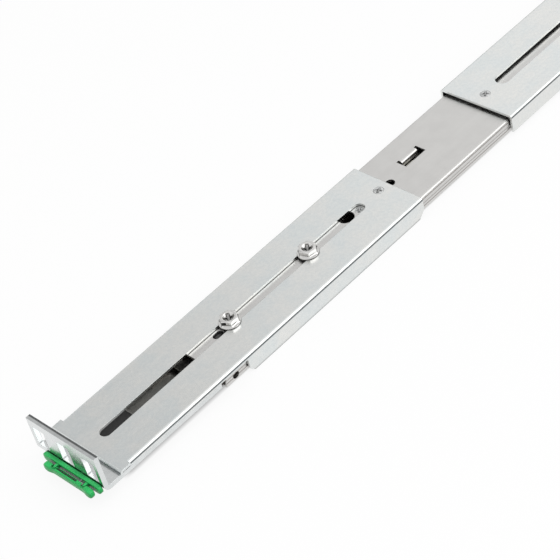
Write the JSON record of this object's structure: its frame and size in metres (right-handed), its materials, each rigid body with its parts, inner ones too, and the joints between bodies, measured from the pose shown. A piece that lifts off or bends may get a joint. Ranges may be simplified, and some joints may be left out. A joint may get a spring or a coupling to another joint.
{
  "type": "sliding server rack rail",
  "caption": "Telescopic ball-bearing rail for a rack server, with slotted front and rear brackets, a windowed rack flange and a green catch.",
  "frame": {"origin": "in the front flange's outer face, at the middle of its middle window", "axes": "+X along the rail from the front post to the rear one, +Y along the rack post (up the rack), +Z out of the server towards the side of the rack; the rail is stored lying on its server side"},
  "size_m": [0.6618, 0.0452, 0.0261],
  "materials": {
    "zinc_sheet": "bright zinc-plated sheet, fine spangle, semi-gloss",
    "flange_steel": "zinc-plated steel, smooth",
    "slide_steel": "cold-rolled steel, clear zinc, fine lengthwise grain",
    "bright_steel": "polished zinc",
    "bright_screws": "bright nickel-plated",
    "spring_steel": "drawn wire",
    "ball_steel": "polished, oiled",
    "cage_steel": "pressed strip",
    "lever_steel": "zinc-plated strip",
    "green_plastic": "injection-moulded, satin",
    "black_nylon": "moulded nylon"
  },
  "bodies": {
    "slide": {"slide_outer_member": "slide_steel", "slide_rivet": "bright_steel", "slide_rear_bumper": "black_nylon", "front_clamp_screws": "bright_screws", "front_nut_bar": "zinc_sheet", "rear_spacer": "zinc_sheet", "rear_clamp_screws": "bright_screws", "rear_nut_bar": "zinc_sheet"},
    "front_bracket": {"front_bracket": "zinc_sheet", "front_guide_button": "bright_steel", "flange_angle": "flange_steel", "catch_base": "green_plastic", "catch_pin": "bright_steel", "catch_spring": "spring_steel"},
    "catch_lever": {"catch_lever": "green_plastic"},
    "rear_bracket": {"rear_bracket": "zinc_sheet", "rear_guide_button": "bright_steel"},
    "outer_cage": {"outer_ball_cage": "cage_steel", "outer_balls": "ball_steel"},
    "middle": {"slide_middle_member": "slide_steel"},
    "inner_cage": {"inner_ball_cage": "cage_steel", "inner_balls": "ball_steel"},
    "chassis": {"chassis_member": "slide_steel", "chassis_lock_pivot": "bright_steel"},
    "lock_lever": {"chassis_lock_lever": "lever_steel"}
  },
  "joints": [
    {"name": "front_bracket_adjust", "type": "slide", "parent": "slide", "child": "front_bracket", "axis": [1, 0, 0], "range_m": [-0.034, 0.003]},
    {"name": "rear_bracket_adjust", "type": "slide", "parent": "slide", "child": "rear_bracket", "axis": [1, 0, 0], "range_m": [-0.018, 0.15]},
    {"name": "middle_slide", "type": "slide", "parent": "slide", "child": "middle", "axis": [-1, 0, 0], "range_m": [0, 0.27]},
    {"name": "outer_cage_slide", "type": "slide", "parent": "slide", "child": "outer_cage", "axis": [-1, 0, 0], "range_m": [0, 0.135]},
    {"name": "chassis_slide", "type": "slide", "parent": "middle", "child": "chassis", "axis": [-1, 0, 0], "range_m": [0, 0.27]},
    {"name": "inner_cage_slide", "type": "slide", "parent": "middle", "child": "inner_cage", "axis": [-1, 0, 0], "range_m": [0, 0.135]},
    {"name": "lock_lever_pivot", "type": "hinge", "parent": "chassis", "child": "lock_lever", "pos_m": [0.2551, 0, -0.0145], "axis": [0, 0, 1], "range_deg": [-5, 5]},
    {"name": "catch_lever_pivot", "type": "hinge", "parent": "front_bracket", "child": "catch_lever", "pos_m": [-0.004, 0, -0.0082], "axis": [0, 1, 0], "range_deg": [0, 25], "stiffness_Nm_per_rad": 0.02, "springref_deg": -5.73}
  ],
  "couplings": [
    {"joint": "outer_cage_slide", "follows": "middle_slide", "ratio": 0.5},
    {"joint": "inner_cage_slide", "follows": "chassis_slide", "ratio": 0.5}
  ]
}
